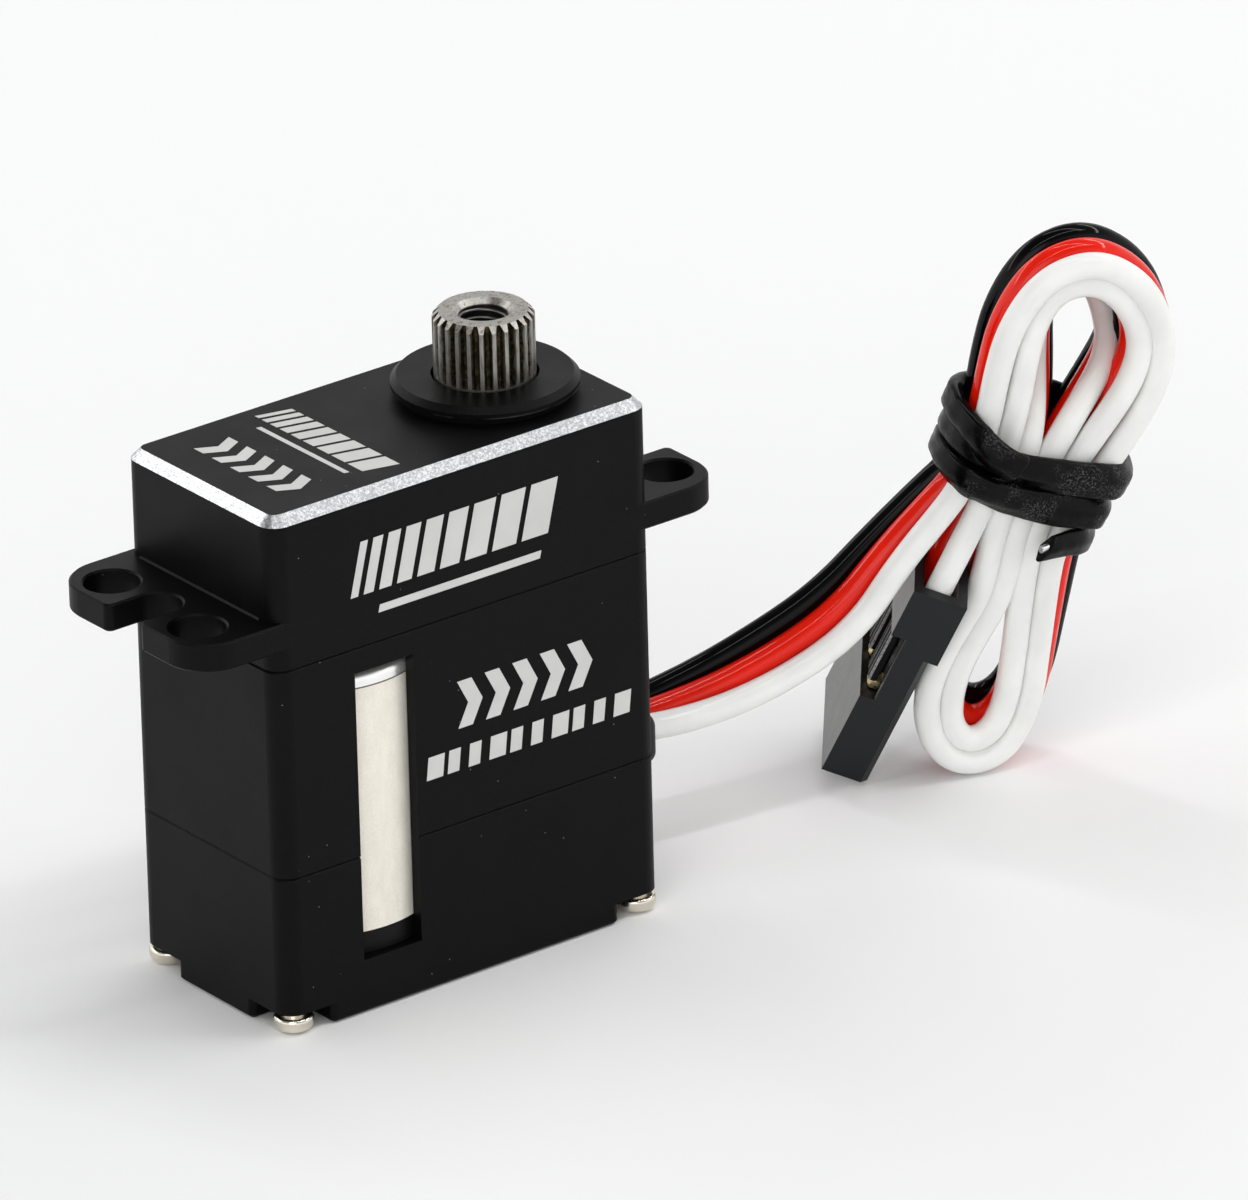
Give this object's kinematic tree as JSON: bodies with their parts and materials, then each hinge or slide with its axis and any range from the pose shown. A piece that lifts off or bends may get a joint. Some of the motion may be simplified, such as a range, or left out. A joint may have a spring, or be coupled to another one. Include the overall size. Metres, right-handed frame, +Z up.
{
  "type": "servo motor",
  "caption": "Micro metal-gear servo with a slim black aluminium case, splined output shaft, slotted mounting tabs and a tied three-wire lead with plug.",
  "frame": {"origin": "on the base of the case, at the centre of its length and width", "axes": "+Z up along the output shaft, +X along the case towards the output shaft and the cable exit, +Y towards the back; -Y is the face with the printed marks"},
  "size_m": [0.0601, 0.016, 0.0317],
  "materials": {
    "black_anodised": "satin black anodising with bare bright edges",
    "nickel_steel": "satin nickel plate",
    "motor_plastic": "black moulded plastic",
    "magnet_steel": "ground steel",
    "copper_winding": "copper",
    "sintered_brass": "brass",
    "gear_steel": "dark hardened steel",
    "board_green": "glass epoxy board",
    "wiper_nylon": "nylon",
    "black_rubber": "matt rubber",
    "wire_white": "white PVC insulation",
    "wire_red": "red PVC insulation",
    "wire_black": "black PVC insulation",
    "plug_plastic": "dark grey moulded nylon"
  },
  "bodies": {
    "servo": {"bearing_outer_ring": "magnet_steel", "board_capacitor": "motor_plastic", "bottom_cover": "black_anodised", "cable_grommet": "black_rubber", "case_screws": "nickel_steel", "control_board": "board_green", "control_chip": "motor_plastic", "gear_axle": "magnet_steel", "lead_black": "wire_black", "lead_hank": "wire_white", "lead_red": "wire_red", "lead_roots": "wire_black", "lead_tail": "wire_black", "lead_tie": "wire_black", "lead_white": "wire_white", "lower_bush": "sintered_brass", "middle_case": "black_anodised", "motor_brushes": "copper_winding", "motor_bush": "sintered_brass", "motor_can": "nickel_steel", "motor_end_cap": "motor_plastic", "motor_magnet": "magnet_steel", "motor_screws": "nickel_steel", "motor_terminals": "copper_winding", "plug_contacts": "sintered_brass", "plug_housing": "plug_plastic", "pot_body": "motor_plastic", "pot_leads": "copper_winding", "power_transistors": "motor_plastic", "top_case": "black_anodised"},
    "motor_rotor": {"motor_shaft": "magnet_steel", "motor_pinion": "sintered_brass", "motor_winding": "copper_winding", "motor_commutator": "copper_winding"},
    "gear_1": {"gear_1_wheel": "sintered_brass", "gear_1_pinion": "gear_steel"},
    "gear_2": {"gear_2_wheel": "sintered_brass", "gear_2_pinion": "gear_steel"},
    "gear_3": {"gear_3_wheel": "gear_steel", "gear_3_pinion": "gear_steel"},
    "ball_set": {"bearing_balls": "magnet_steel", "bearing_cage": "sintered_brass"},
    "output": {"output_shaft": "gear_steel", "output_gear": "gear_steel", "bearing_inner_ring": "magnet_steel", "pot_wiper": "wiper_nylon"}
  },
  "joints": [
    {"name": "motor_spin", "type": "hinge", "parent": "servo", "child": "motor_rotor", "pos_m": [-0.005, 0, 0.0215], "axis": [0, 0, 1], "range_deg": [-16102.94, 16102.94]},
    {"name": "gear_1_spin", "type": "hinge", "parent": "servo", "child": "gear_1", "pos_m": [0.0005, 0, 0.0215], "axis": [0, 0, 1], "range_deg": [-3504.14, 3504.14]},
    {"name": "gear_2_spin", "type": "hinge", "parent": "servo", "child": "gear_2", "pos_m": [0.006, 0, 0.0215], "axis": [0, 0, 1], "range_deg": [-796.4, 796.4]},
    {"name": "gear_3_spin", "type": "hinge", "parent": "servo", "child": "gear_3", "pos_m": [0.0005, 0, 0.0215], "axis": [0, 0, 1], "range_deg": [-234.23, 234.23]},
    {"name": "ball_set_spin", "type": "hinge", "parent": "servo", "child": "ball_set", "pos_m": [0.006, 0, 0.0215], "axis": [0, 0, 1], "range_deg": [-38.67, 38.67]},
    {"name": "output_turn", "type": "hinge", "parent": "servo", "child": "output", "pos_m": [0.006, 0, 0.0215], "axis": [0, 0, 1], "range_deg": [-90.09, 90.09]}
  ],
  "couplings": [
    {"joint": "gear_1_spin", "follows": "motor_spin", "ratio": -0.21739},
    {"joint": "gear_2_spin", "follows": "motor_spin", "ratio": 0.049407},
    {"joint": "gear_3_spin", "follows": "motor_spin", "ratio": -0.014532},
    {"joint": "ball_set_spin", "follows": "motor_spin", "ratio": 0.002399},
    {"joint": "output_turn", "follows": "motor_spin", "ratio": 0.005589}
  ]
}
